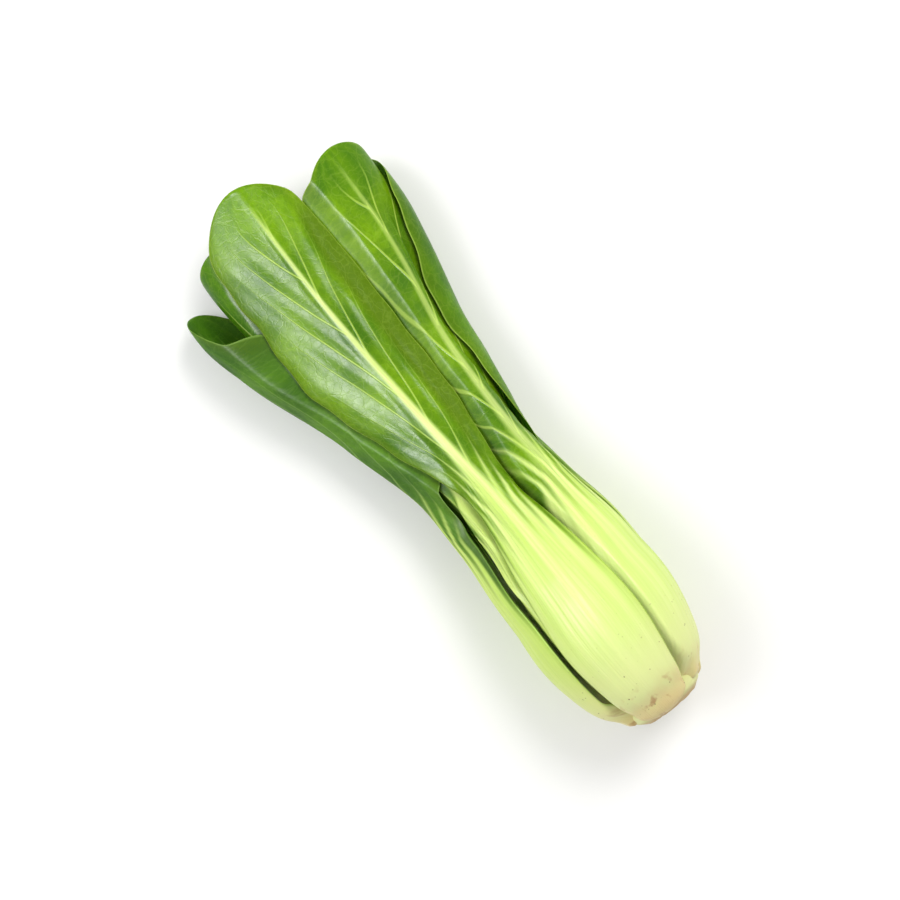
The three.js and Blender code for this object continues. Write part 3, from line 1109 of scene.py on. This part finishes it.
@dataclass(frozen=True)
class LeafFinish:
    """The finish of one colour family of leaves: waxy green blade, pale fleshy stalk.

    The heights are those of the fine relief, in millimetres. The wax is the blade's least and
    greatest roughness, to which the dulling is added. A clarity is how strongly a pale line shows
    on the blade. Places on the mesh are in millimetres.
    """

    tone: LeafTone
    blade_light: Colour
    blade_deep: Colour
    # The olive is the margins' own tint, and painted shade where the turned-in fold lies turned
    # away from the light.
    margin_olive_and_fold_shade: Colour
    vein: Colour
    stalk_foot: Colour
    stalk_pale: Colour
    stalk_green: Colour
    dulling: float = 0.0
    wax: tuple[float, float] = (0.31, 0.4)
    stalk_roughness: float = 0.42
    folded_dulling: float = 0.06
    vein_clarity: float = 0.66
    net_clarity: float = 0.16
    edge_clarity: float = 0.5
    vein_height: float = 0.14
    net_depth: float = 0.045
    line_height: float = 0.05
    grain_height: float = 0.014
    foot_tan: Colour = (0.7, 0.5, 0.24)
    stain: Colour = (0.4, 0.2, 0.08)
    speck: Colour = (0.1, 0.045, 0.02)

    def build(self) -> bpy.types.Material:
        """Wires the blade's and the stalk's looks into one material.

        Returns:
            The material.
        """
        w = Wiring(self.tone.value)
        along, pale = w.value("along"), w.value("pale")
        flat = w.vector(X=along, Y=w.value("across"))
        veins, net = self.veins(w, flat)
        grooves = w.vector(X=w.times(along, 0.0012), Y=w.value("share"), Z=w.value("leaf"))
        lines = w.ramp(w.noise(grooves, 26.0, 2.0), 0.35, 0.65)
        blade, stalk = self.blade_colour(w, flat, veins, net), self.stalk_colour(w, flat, lines)
        w.feed(w.shader.inputs["Base Color"], w.mix(pale, blade, stalk))
        smooth, rough = (roughness + self.dulling for roughness in self.wax)
        waxy = w.ramp(w.noise(flat, 0.25, 4.0), 0.35, 0.65, smooth, rough)
        folded = w.times(w.value("folded"), self.folded_dulling)
        dull = w.math("MAXIMUM", folded, w.value("tucked"))
        roughness = w.ramp(pale, 0.0, 1.0, w.plus(waxy, dull), self.stalk_roughness)
        w.feed(w.shader.inputs["Roughness"], roughness)
        w.plain(IOR=1.25, Coat_Weight=0.03, Coat_Roughness=0.22, Subsurface_Weight=0.1)
        w.plain(Subsurface_Scale=1.0, Subsurface_Radius=(0.003, 0.005, 0.001))
        raised = w.times(veins, self.vein_height)
        relief = w.math("SUBTRACT", raised, w.times(net, self.net_depth))
        relief = w.times(relief, w.math("SUBTRACT", 1.0, pale))
        relief = w.plus(relief, w.times(w.times(lines, pale), self.line_height))
        w.bump(w.plus(relief, w.times(w.noise(flat, 1.6, 4.0), self.grain_height)))
        return w.material

    def veins(
        self, w: Wiring, flat: bpy.types.NodeSocket
    ) -> tuple[bpy.types.NodeSocket, bpy.types.NodeSocket]:
        """Draws the blade's side veins and the fine net between them.

        Args:
            w: the material's wiring.
            flat: the leaf's own flat coordinates, in millimetres.

        Returns:
            The strength of the side veins and of the net, from 0 to 1.
        """
        share = w.off_middle()
        outward = w.ramp(share, 0.15, 0.85, 1.0, 0.0)
        to_main = w.times(w.math("PINGPONG", w.value("vein"), 0.5), w.value("pitch"))
        reach = w.ramp(share, 0.0, 0.8, 0.5, 0.24)
        main = w.math("SUBTRACT", 1.0, w.math("DIVIDE", to_main, reach))
        main = w.times(w.ramp(main, 0.0, 0.75), outward)
        main = w.times(main, w.ramp(w.value("to_tip"), 5.0, 26.0))
        warp = w.add("ShaderNodeTexNoise", {"Vector": flat, "Scale": 0.35}).outputs["Color"]
        shift = w.add("ShaderNodeVectorMath", {0: warp, "Scale": 2.6}, operation="SCALE").outputs[0]
        moved = w.add("ShaderNodeVectorMath", {0: flat, 1: shift}, operation="ADD").outputs[0]
        nets = []
        for scale, width, strength in ((0.16, 0.05, 0.6), (0.42, 0.08, 0.4)):
            cells = {"Vector": moved, "Scale": scale}
            cell = w.add("ShaderNodeTexVoronoi", cells, feature="DISTANCE_TO_EDGE")
            nets.append(w.ramp(cell.outputs["Distance"], 0.0, width, strength, 0.0))
        return main, w.math("MAXIMUM", *nets)

    def blade_colour(
        self,
        w: Wiring,
        flat: bpy.types.NodeSocket,
        veins: bpy.types.NodeSocket,
        net: bpy.types.NodeSocket,
    ) -> bpy.types.NodeSocket:
        """Mixes the blade's colour: mottled greens, an olive margin, olive painted shade on the
        turned-in fold, and pale veins.

        Args:
            w: the material's wiring.
            flat: the leaf's own flat coordinates.
            veins: the strength of the side veins.
            net: the strength of the fine net.

        Returns:
            The colour.
        """
        share, folded = w.off_middle(), w.value("folded")
        broad = w.ramp(w.noise(flat, 0.04, 2.0), 0.36, 0.64)
        green = w.mix(broad, self.blade_deep, self.blade_light)
        streaks = w.noise(w.vector(X=w.value("vein")), 1.1, 3.0)
        near_edge = w.ramp(share, 0.7, 1.0, 0.0, 0.5)
        # On the turned-in fold the side veins fade, as part of the shade painted there.
        clear = w.math("SUBTRACT", self.vein_clarity, w.times(folded, 0.5))
        layers = (
            (w.ramp(streaks, 0.4, 0.65, 0.0, 0.45), self.blade_light),
            (w.ramp(w.noise(flat, 0.45, 5.0), 0.35, 0.7, 0.0, 0.35), self.blade_deep),
            # Olive layer: the margins' own tint, and painted shade on the turned-in fold.
            (w.math("MAXIMUM", near_edge, folded), self.margin_olive_and_fold_shade),
            (w.times(w.value("inside"), 0.45), self.blade_deep),
            (w.times(net, self.net_clarity), self.vein),
            (w.times(veins, clear), self.vein),
            (w.ramp(share, 0.975, 0.995, 0.0, self.edge_clarity), self.vein),
        )
        return w.paint(green, layers)

    def stalk_colour(
        self, w: Wiring, flat: bpy.types.NodeSocket, lines: bpy.types.NodeSocket
    ) -> bpy.types.NodeSocket:
        """Mixes the stalk's colour: tan foot, cream bulb, and green stripes higher up.

        Args:
            w: the material's wiring.
            flat: the leaf's own flat coordinates.
            lines: the fine lengthwise lines.

        Returns:
            The colour.
        """
        along, share = w.value("along"), w.off_middle()
        up = w.ramp(along, 8.0, 80.0, 0.15, 0.62)
        streaks = w.vector(X=w.times(along, 0.0016), Y=w.value("share"), Z=w.value("leaf"))
        broad = w.ramp(w.noise(streaks, 3.1, 1.0), 0.4, 0.6)
        slim = w.ramp(w.noise(streaks, 10.0, 2.0), 0.4, 0.62)
        stripes = w.plus(w.times(broad, 0.5), w.times(slim, 0.27))
        green = w.times(w.plus(stripes, w.ramp(share, 0.55, 1.0, 0.0, 0.5)), up)
        green = w.math("MINIMUM", w.plus(green, w.times(lines, 0.07)), 1.0)
        colour = w.mix(green, self.stalk_pale, self.stalk_green)
        uneven = w.plus(along, w.times(w.noise(flat, 0.12, 3.0), 14.0))
        patch = w.ramp(w.noise(flat, 0.2, 4.0), 0.56, 0.7)
        specks = w.add("ShaderNodeTexVoronoi", {"Vector": flat, "Scale": 0.55}).outputs["Distance"]
        rare = w.ramp(w.noise(flat, 0.21, 2.0), 0.53, 0.6)
        dots = w.times(w.ramp(specks, 0.06, 0.2, 1.0, 0.0), w.ramp(along, 8.0, 40.0, 1.0, 0.12))
        layers = (
            (w.ramp(along, 5.0, 42.0, 0.9, 0.0), self.stalk_foot),
            (w.ramp(uneven, 8.0, 22.0, 0.75, 0.0), self.foot_tan),
            (w.times(patch, w.ramp(along, 4.0, 17.0, 0.85, 0.0)), self.stain),
            (w.times(dots, rare), self.speck),
            (w.ramp(share, 0.965, 0.995, 0.0, self.edge_clarity), self.stalk_green),
        )
        return w.paint(colour, layers)


LEAF_FINISHES: tuple[LeafFinish, ...] = (
    LeafFinish(
        tone=LeafTone.BRIGHT,
        blade_light=(0.15, 0.305, 0.0005),
        blade_deep=(0.05, 0.15, 0.0005),
        margin_olive_and_fold_shade=(0.085, 0.17, 0.0005),
        vein=(0.43, 0.62, 0.09),
        stalk_foot=(0.7, 0.73, 0.34),
        stalk_pale=(0.68, 0.81, 0.27),
        stalk_green=(0.32, 0.54, 0.012),
    ),
    LeafFinish(
        tone=LeafTone.FRESH,
        blade_light=(0.105, 0.255, 0.001),
        blade_deep=(0.038, 0.13, 0.001),
        margin_olive_and_fold_shade=(0.085, 0.16, 0.001),
        vein=(0.38, 0.56, 0.08),
        stalk_foot=(0.72, 0.73, 0.33),
        stalk_pale=(0.62, 0.76, 0.21),
        stalk_green=(0.28, 0.49, 0.01),
    ),
    LeafFinish(
        tone=LeafTone.DEEP,
        blade_light=(0.085, 0.22, 0.004),
        blade_deep=(0.028, 0.1, 0.002),
        margin_olive_and_fold_shade=(0.06, 0.12, 0.002),
        vein=(0.2, 0.36, 0.06),
        stalk_foot=(0.7, 0.71, 0.31),
        stalk_pale=(0.58, 0.73, 0.18),
        stalk_green=(0.24, 0.45, 0.008),
        dulling=0.2,
    ),
    LeafFinish(
        tone=LeafTone.YOUNG,
        blade_light=(0.3, 0.52, 0.02),
        blade_deep=(0.13, 0.31, 0.006),
        margin_olive_and_fold_shade=(0.24, 0.36, 0.01),
        vein=(0.55, 0.72, 0.2),
        stalk_foot=(0.74, 0.76, 0.42),
        stalk_pale=(0.66, 0.79, 0.3),
        stalk_green=(0.32, 0.52, 0.03),
    ),
)


@dataclass(frozen=True)
class CrownFinish:
    """The finish of the cut stem: cream pith, a browned rim and a ring of vessel ends."""

    pith: Colour = (0.78, 0.72, 0.42)
    rind: Colour = (0.5, 0.34, 0.14)
    browned: Colour = (0.3, 0.15, 0.055)
    side: Colour = (0.66, 0.68, 0.3)

    def build(self) -> bpy.types.Material:
        """Wires the cut face's and the side's looks into one material.

        Returns:
            The material.
        """
        w = Wiring("cut_stem")
        reach, along = w.value("reach"), w.value("along")
        place = w.add("ShaderNodeTexCoord").outputs["Object"]
        blotch = w.noise(place, 420.0, 4.0)
        uneven = w.plus(reach, w.times(w.math("SUBTRACT", blotch, 0.5), 0.35))
        face = w.mix(w.ramp(uneven, 0.55, 0.98), self.pith, self.rind)
        cells = {"Vector": place, "Scale": 520.0}
        pores = w.add("ShaderNodeTexVoronoi", cells).outputs["Distance"]
        ring = w.times(w.ramp(reach, 0.5, 0.68), w.ramp(reach, 0.74, 0.9, 1.0, 0.0))
        dots = w.times(w.ramp(pores, 0.12, 0.3, 1.0, 0.0), ring)
        face = w.mix(w.times(dots, 0.75), face, self.browned)
        colour = w.mix(w.ramp(along, 0.4, 3.0), face, self.side)
        w.feed(w.shader.inputs["Base Color"], colour)
        w.feed(w.shader.inputs["Roughness"], w.ramp(blotch, 0.3, 0.7, 0.5, 0.72))
        w.bump(w.times(w.plus(blotch, w.times(dots, -0.6)), 0.35))
        return w.material


@dataclass(frozen=True)
class FloorFinish:
    """The finish of the plain pale floor."""

    colour: Colour = (0.86, 0.86, 0.86)
    shade: Colour = (0.82, 0.82, 0.83)

    def build(self) -> bpy.types.Material:
        """Wires a faint clouding of the pale colour.

        Returns:
            The material.
        """
        w = Wiring("pale_floor")
        place = w.add("ShaderNodeTexCoord").outputs["Object"]
        clouds = w.ramp(w.noise(place, 3.0, 2.0), 0.3, 0.7, 0.0, 0.04)
        w.feed(w.shader.inputs["Base Color"], w.mix(clouds, self.colour, self.shade))
        w.plain(Roughness=0.85)
        return w.material


@dataclass
class Leaves:
    """All the leaves of the head, placed from the outermost to the youngest.

    A slab's rows lie closer towards the leaf's tip by row_power, and its columns closer towards
    the margins by column_ease. The tucked fields say how dull a leaf is where it runs under
    another one, and how far it has to be pressed in for that.
    """

    head: HeadForm
    habit: LeafHabit
    placement: Placement
    leaf_gap: float = 0.45
    fill_margin: float = 1.0
    round_foot: float = 6.0
    foot_share: float = 0.985
    foot_fade: float = 18.0
    row_power: float = 1.5
    column_ease: float = 0.25
    crown_gap: float = 0.2
    phase_step: float = 0.1
    across_offset: float = 60.0
    leaf_offset: float = 1.7
    tucked_dulling: float = 0.32
    tucked_depths: tuple[float, float] = (0.3, 1.6)
    crown_width: float = 18.0
    crown_height: float = 21.0

    def plan(self) -> list[Leaf]:
        """Lists the leaves, from the outermost to the youngest.

        Returns:
            The leaves in the order in which they are placed.
        """
        order = [(ring, rank) for ring in RINGS for rank in range(len(ring.tips))]
        last = len(order) - 1
        return [
            Leaf(self.head, self.habit, ring, rank, index, index / last)
            for index, (ring, rank) in enumerate(order)
        ]

    def crown_radius(self) -> SmoothCurve:
        """Draws the outline of the crown, without its seat.

        Returns:
            The crown's radius at each place along the head.
        """
        half = self.crown_width / 2.0
        shape = (
            (0.0, 1.0),
            (0.08, 0.95),
            (0.24, 0.72),
            (0.46, 0.46),
            (0.7, 0.25),
            (0.88, 0.12),
            (1.0, 0.0),
        )
        return SmoothCurve([(up * self.crown_height, across * half) for up, across in shape])

    def sheet(self, leaf: Leaf) -> bmesh.types.BMesh:
        """Makes a flat closed slab: x runs along the leaf, y across it, z from face to face.

        Args:
            leaf: the leaf.

        Returns:
            The slab, with x and y from -1 to 1, z 0 outside and -1 inside.
        """
        bm = bmesh.new()
        bmesh.ops.create_grid(bm, x_segments=leaf.ring.rows, y_segments=leaf.ring.columns, size=1.0)
        bmesh.ops.solidify(bm, geom=bm.faces[:], thickness=1.0)
        bmesh.ops.recalc_face_normals(bm, faces=bm.faces[:])
        return bm

    def lay_out(self, leaf: Leaf, u: np.ndarray, v: np.ndarray) -> tuple[np.ndarray, np.ndarray]:
        """Spreads the slab's rows and columns over the leaf, with a round foot.

        Args:
            leaf: the leaf.
            u: the rows, from -1 at the foot to 1 at the tip.
            v: the columns, from -1 at the right margin to 1 at the left one.

        Returns:
            The places along the head, and the shares of the way to the margin.
        """
        x = leaf.tip - (leaf.tip - leaf.foot) * ((1.0 - u) / 2.0) ** self.row_power
        share = -v * (1.0 - self.column_ease + self.column_ease * v * v)
        arc = self.round_foot * (1.0 - np.sqrt(1.0 - (self.foot_share * share) ** 2))
        return x + arc * (1.0 - smoothstep(x, leaf.foot, leaf.foot + self.foot_fade)), share

    def vein_pitch(self, leaf: Leaf, x: np.ndarray, distance: np.ndarray) -> np.ndarray:
        """Works out how far apart the side veins are.

        Args:
            leaf: the leaf.
            x: places along the head.
            distance: signed ways from the midrib, in millimetres.

        Returns:
            The pitch at each point, in millimetres.
        """
        step = self.phase_step
        slope_x = leaf.vein_phase(x + step, distance) - leaf.vein_phase(x - step, distance)
        slope_d = leaf.vein_phase(x, distance + step) - leaf.vein_phase(x, distance - step)
        pitch = 2.0 * step / np.maximum(np.hypot(slope_x, slope_d), 1e-4)
        return np.minimum(pitch, leaf.habit.vein_spacing)

    def grow(self, leaf: Leaf, room: Room, crown: SmoothCurve) -> bpy.types.Object:
        """Builds one leaf and takes its space out of the room.

        Args:
            leaf: the leaf.
            room: the free room.
            crown: the crown's radius along the head.

        Returns:
            The leaf's piece.
        """
        piece = add_piece(leaf.name, self.sheet(leaf))
        ceiling = room.eased()
        u, v, side = read_points(piece.data).T
        outside = side > -0.5
        x, share = self.lay_out(leaf, u, v)
        distance = share * leaf.half(x)
        turn = self.head.turn_at(x, leaf.mid_turn(x), distance, leaf.base_radius(x))
        outer = room.outer_radius(leaf, ceiling, x, turn, distance)
        depth = np.where(outside, *leaf.faces(x, distance))
        radius = outer - depth / self.head.depth_scale(x, turn)
        radius = np.maximum(radius, crown(x) + self.crown_gap)
        write_points(piece.data, self.placement.to_frame(self.head.point(x, turn, radius)))
        pressed = leaf.base_radius(x) - room.sample(ceiling, x, turn)
        write_values(
            piece.data,
            along=x,
            across=distance + self.across_offset * leaf.index,
            leaf=np.full(len(x), self.leaf_offset * leaf.index),
            share=share,
            vein=leaf.vein_phase(x, distance),
            pitch=self.vein_pitch(leaf, x, distance),
            pale=leaf.paleness(x, distance),
            # The fold mask also places the shade that the finish paints on the turned-in margin.
            folded=leaf.folded(x, distance),
            to_tip=leaf.tip - x,
            tucked=self.tucked_dulling * smoothstep(pressed, *self.tucked_depths),
            inside=np.where(outside, 0.0, 1.0),
        )
        room.take_out(leaf, ceiling)
        return piece

    def build(self) -> list[bpy.types.Object]:
        """Builds and dresses every leaf.

        Returns:
            The leaves' pieces.
        """
        finishes = {finish.tone: finish.build() for finish in LEAF_FINISHES}
        room, crown = Room(self.head, self.leaf_gap, self.fill_margin), self.crown_radius()
        pieces = []
        for leaf in self.plan():
            piece = self.grow(leaf, room, crown)
            piece.data.materials.append(finishes[leaf.ring.tones[leaf.rank]])
            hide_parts(*leaf.solids)
            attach(piece, BODY)
            f"{leaf.ring.name}_blade"
            log.info("%s: %d vertices", piece.name, len(piece.data.vertices))
            pieces.append(piece)
        return pieces


@dataclass
class Crown:
    """The cut stem inside the bulb, with the seat that the leaves' feet grow from.

    The seat is how far the stem swells past its own radius, at each place along it. The body is
    how far it does so higher up, inside the heart.
    """

    head: HeadForm
    placement: Placement
    radius: SmoothCurve
    height: float = 21.0
    steps: int = 120
    dish: float = 0.5
    body: float = 0.6
    seat: tuple[tuple[float, float], ...] = (
        (0.0, 0.7),
        (0.9, 2.3),
        (2.6, 5.3),
        (5.5, 7.7),
        (9.0, 7.0),
        (13.0, 1.0),
    )

    def build(self) -> bpy.types.Object:
        """Builds the crown: a profile turned about the head's axis, with an uneven cut face.

        Returns:
            The crown's piece.
        """
        rim, seat_end = float(self.radius(0.0)) + self.seat[0][1], self.seat[-1][0]
        face = [(self.dish * (1.0 - (r / rim) ** 2), r) for r in np.linspace(0.0, rim, 15)]
        swell = SmoothCurve(self.seat)
        seated = np.linspace(0.15, seat_end, 30)
        inside = np.linspace(seat_end + 1.0, self.height - 1.0, 8)
        cone = [(x, float(self.radius(x) + swell(x))) for x in seated]
        cone += [(x, float(self.radius(x) + self.body)) for x in inside]
        cone.append((self.height, 0.0))
        bm = bmesh.new()
        verts = [bm.verts.new((x, 0.0, r)) for x, r in face + cone]
        edges = [bm.edges.new(pair) for pair in zip(verts, verts[1:])]
        bmesh.ops.spin(
            bm,
            geom=verts + edges,
            cent=(0.0, 0.0, 0.0),
            axis=(1.0, 0.0, 0.0),
            angle=2.0 * math.pi,
            steps=self.steps,
            use_merge=True,
        )
        bmesh.ops.remove_doubles(bm, verts=bm.verts[:], dist=0.001)
        bmesh.ops.recalc_face_normals(bm, faces=bm.faces[:])
        piece = add_piece("cut_stem", bm)
        points = read_points(piece.data)
        x, y, z = points.T
        reach = np.hypot(y, z)
        cut = np.clip(1.0 - x, 0.0, 1.0)
        knife = 0.12 * np.sin(0.9 * y + 0.4 * z) + 0.06 * np.sin(2.3 * y - 1.1 * z)
        x = x + cut * np.maximum(knife, -x)
        placed = np.column_stack([x, y, z + float(self.head.axis_height(0.0))])
        write_points(piece.data, self.placement.to_frame(placed))
        write_values(piece.data, reach=reach / rim, along=points[:, 0])
        piece.data.materials.append(CrownFinish().build())
        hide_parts("crown")
        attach(piece, BODY)
        log.info("%s: %d vertices", piece.name, len(piece.data.vertices))
        return piece


@dataclass(frozen=True)
class SoftLight:
    """One soft area light that looks at the head, with or without its diffuse and glossy parts."""

    name: str
    place: tuple[float, float, float]
    size: float
    power: float
    colour: Colour = (1.0, 1.0, 1.0)
    diffuse: bool = True
    glossy: bool = True

    def build(self) -> None:
        """Adds the light."""
        lamp = bpy.data.lights.new(self.name, "AREA")
        lamp.shape = "DISK"
        lamp.size, lamp.energy, lamp.color = self.size, self.power, self.colour
        light = bpy.data.objects.new(self.name, lamp)
        light.location = self.place
        light.rotation_euler = (-Vector(self.place)).to_track_quat("-Z", "Y").to_euler()
        light.visible_diffuse = self.diffuse
        light.visible_glossy = self.glossy
        bpy.context.scene.collection.objects.link(light)


@dataclass
class Studio:
    """The pale floor, the soft light and the camera, which looks straight down."""

    floor_half: float = 1.5
    camera_height: float = 0.9
    focus_height: float = 0.025
    view_width: float = 0.3
    up_in_view: tuple[float, float] = (0.776, -0.632)
    world_strength: float = 0.63

    def floor(self) -> None:
        """Adds the floor that the head lies on."""
        bm = bmesh.new()
        bmesh.ops.create_grid(bm, x_segments=1, y_segments=1, size=self.floor_half)
        floor = add_piece("floor", bm)
        floor.data.materials.append(FloorFinish().build())
        floor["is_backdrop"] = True

    def camera(self) -> None:
        """Adds the camera, turned so that the leaf tips point up and to the left."""
        lens = bpy.data.cameras.new("camera")
        distance = self.camera_height - self.focus_height
        lens.angle = 2.0 * math.atan(self.view_width / 2.0 / distance)
        up = Vector((*self.up_in_view, 0.0)).normalized()
        back = Vector((0.0, 0.0, 1.0))
        right = up.cross(back)
        turned = Matrix((right, up, back)).transposed().to_4x4()
        low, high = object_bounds()
        middle = (Vector(low) + Vector(high)) / 2.0
        camera = bpy.data.objects.new("camera", lens)
        camera.matrix_world = Matrix.Translation((middle.x, middle.y, self.camera_height)) @ turned
        bpy.context.scene.collection.objects.link(camera)
        bpy.context.scene.camera = camera

    def lights(self) -> None:
        """Adds the soft lights and the even light of the room, with a plain view of colours."""
        lights = (
            SoftLight("key", (0.35, -0.7, 0.95), 0.7, 9.8, (1.0, 0.985, 0.95), glossy=False),
            SoftLight("fill", (0.5, 0.6, 0.85), 0.8, 6.0, glossy=False),
            SoftLight("sheen", (0.07, 0.46, 0.9), 0.45, 25.0, diffuse=False),
        )
        for light in lights:
            light.build()
        world = bpy.data.worlds.new("studio")
        world.use_nodes = True
        glow = world.node_tree.nodes["Background"]
        glow.inputs["Color"].default_value = (1.0, 1.0, 1.0, 1.0)
        glow.inputs["Strength"].default_value = self.world_strength
        bpy.context.scene.world = world
        bpy.context.scene.view_settings.view_transform = "Standard"

    def build(self) -> None:
        """Builds the studio."""
        self.floor()
        self.camera()
        self.lights()


def main() -> None:
    """Builds the head, then the studio around it."""
    logging.basicConfig(level=logging.INFO, format="%(name)s: %(message)s")
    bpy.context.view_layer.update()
    head, habit = HeadForm(), LeafHabit()
    placement = Placement.from_crown(head)
    Studio().build()
    leaves = Leaves(head, habit, placement)
    leaves.build()
    Crown(head, placement, leaves.crown_radius()).build()
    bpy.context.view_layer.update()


if __name__ == "__main__":
    main()
